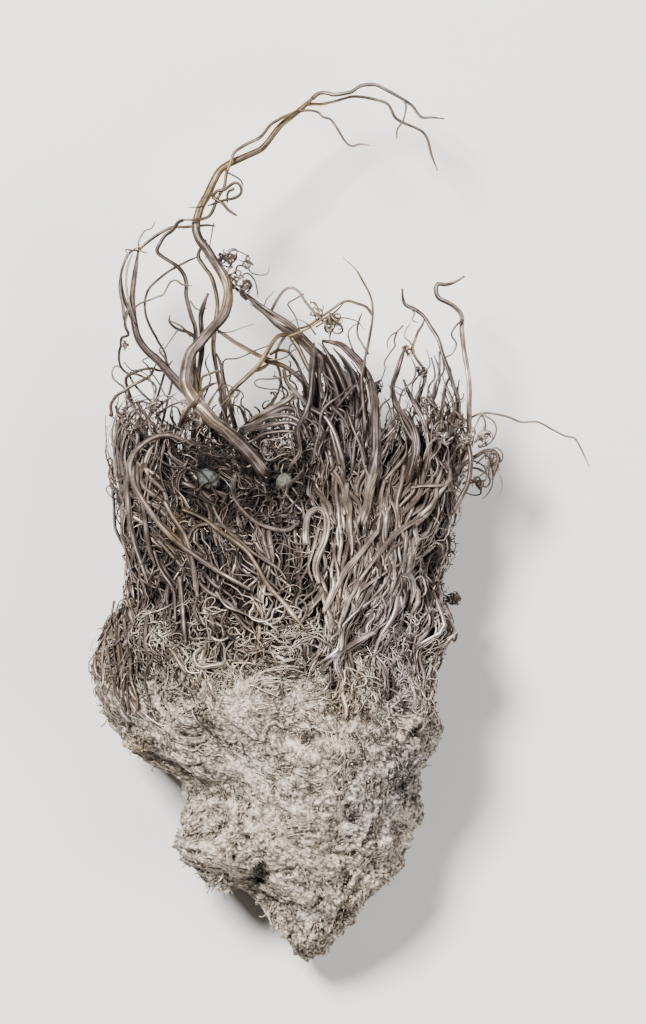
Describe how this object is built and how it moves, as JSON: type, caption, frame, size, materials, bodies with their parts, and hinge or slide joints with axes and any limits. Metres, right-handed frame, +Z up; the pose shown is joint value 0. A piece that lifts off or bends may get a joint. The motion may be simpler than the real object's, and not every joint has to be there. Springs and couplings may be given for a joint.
{
  "type": "native silver specimen",
  "caption": "Wire silver mineral specimen lying on its back: a felted lump tapering to a foot, a tangle of upright wires and one thick wire arching over in an S.",
  "frame": {"origin": "on the table plane under the middle of the felted lump, on the flat back that it rests on", "axes": "+Y from the foot of the lump to the tips of the wires, +X to the right seen from above, +Z up, away from the table"},
  "size_m": [0.0497, 0.088, 0.028],
  "materials": {
    "felted_silver": "pale warm grey felted native silver, matt and granular with dark pores",
    "bright_silver": "native silver wire, ribbed along its length, beige-grey with a soft metallic sheen",
    "tarnished_silver": "native silver wire under a brown-grey tarnish, ribbed along its length",
    "golden_silver": "native silver wire with a thin golden-tan tarnish",
    "mineral_grain": "pale granular mineral grain, matt"
  },
  "bodies": {
    "root": {"felted_lump": "felted_silver", "arch_stem_lower": "bright_silver", "arch_stem_upper": "golden_silver", "arch_tip_upper": "bright_silver", "arch_tip_lower": "golden_silver", "arch_tip_twig": "golden_silver", "arch_side_twig": "bright_silver", "companion_upper": "golden_silver", "companion_lower": "tarnished_silver", "cross_wire": "golden_silver", "left_riser": "tarnished_silver", "left_riser_strand": "tarnished_silver", "hoop_wire": "tarnished_silver", "inner_strand": "golden_silver", "inner_ribbon": "tarnished_silver", "wavy_twig": "golden_silver", "rod_from_stem": "golden_silver", "rod_across": "golden_silver", "slanting_spar": "tarnished_silver", "sheaf_outer": "tarnished_silver", "sheaf_second": "tarnished_silver", "sheaf_third": "tarnished_silver", "sheaf_fourth": "tarnished_silver", "fork_wire": "golden_silver", "fork_branch": "golden_silver", "small_arch": "bright_silver", "right_tall_wire": "bright_silver", "right_leaning_wire": "tarnished_silver", "right_fork_twig": "golden_silver", "right_bundle": "tarnished_silver", "right_bundle_partner": "bright_silver", "right_reed": "tarnished_silver", "right_short_reed": "tarnished_silver", "far_right_whisker": "bright_silver", "right_curl": "tarnished_silver", "left_rim_twig": "tarnished_silver", "left_sweep": "bright_silver", "middle_sweep": "golden_silver", "hairpin_wire": "bright_silver", "right_sweep": "bright_silver", "right_brace": "bright_silver", "right_bow": "bright_silver", "lower_strap": "bright_silver", "shoulder_curl": "bright_silver", "lobe_wire": "golden_silver", "pale_bead": "mineral_grain", "grey_crystal": "mineral_grain", "wire_knot": "tarnished_silver"}
  },
  "joints": []
}
